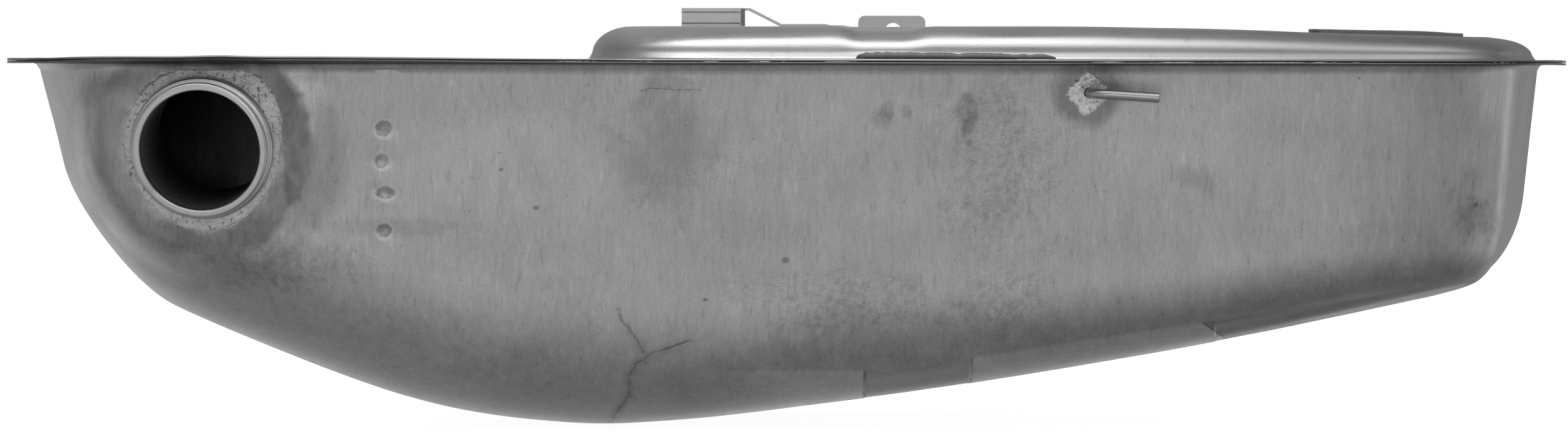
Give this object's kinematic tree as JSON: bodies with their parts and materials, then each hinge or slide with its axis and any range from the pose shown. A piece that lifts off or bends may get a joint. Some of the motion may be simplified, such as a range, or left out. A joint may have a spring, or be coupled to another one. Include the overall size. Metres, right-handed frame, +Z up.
{
  "type": "fuel tank",
  "caption": "Pressed-steel drop-in fuel tank: deep lower pan, raised top tray, perimeter flange, filler neck, vent tube and level sender.",
  "frame": {"origin": "under the middle of the tank, on the plane that its lowest point touches", "axes": "+Z up, square to the flange; +X along the tank, from the deep filler end to the shallow end; -Y out of the wall with the filler neck"},
  "size_m": [0.7738, 0.5, 0.2036],
  "materials": {
    "pan_steel": "terne-coated drawn sheet, dull",
    "tray_steel": "terne-coated drawn sheet, brighter",
    "neck_steel": "turned edge, satin",
    "bracket_steel": "zinc-plated sheet",
    "dark_strip": "rough dark sheet",
    "solder": "rough soft solder",
    "inner_steel": "plain sheet",
    "gasket_rubber": "fuel-proof rubber",
    "brass": "drawn brass",
    "dark_plastic": "moulded",
    "sock_mesh": "woven filter mesh"
  },
  "bodies": {
    "tank": {"lower_shell": "pan_steel", "upper_shell": "tray_steel", "filler_neck": "neck_steel", "filler_neck_solder": "solder", "vent_tube": "neck_steel", "vent_tube_solder": "solder", "baffle_left": "inner_steel", "baffle_right": "inner_steel", "hose_clip": "bracket_steel", "tab_bracket": "bracket_steel", "support_plate": "dark_strip", "flange_strip": "dark_strip", "sender_locating_ring": "inner_steel", "sender_gasket": "gasket_rubber", "sender_flange": "bracket_steel", "sender_terminal_insulator": "dark_plastic", "sender_terminal_stud": "brass", "sender_terminal_nut": "brass", "sender_bracket": "inner_steel", "sender_housing": "dark_plastic", "pickup_tube": "neck_steel", "strainer_sock": "sock_mesh"},
    "lock_ring": {"sender_lock_ring": "bracket_steel"},
    "float_swing": {"float_arm": "inner_steel", "float": "brass"}
  },
  "joints": [
    {"name": "float_arm_hinge", "type": "hinge", "parent": "tank", "child": "float_swing", "pos_m": [-0.0026, 0.08, 0.12325], "axis": [-1, 0, 0], "range_deg": [0, 60]},
    {"name": "lock_ring_turn", "type": "hinge", "parent": "tank", "child": "lock_ring", "pos_m": [-0.0026, 0.11, 0.17925], "axis": [0, 0, 1], "range_deg": [0, 35]}
  ]
}
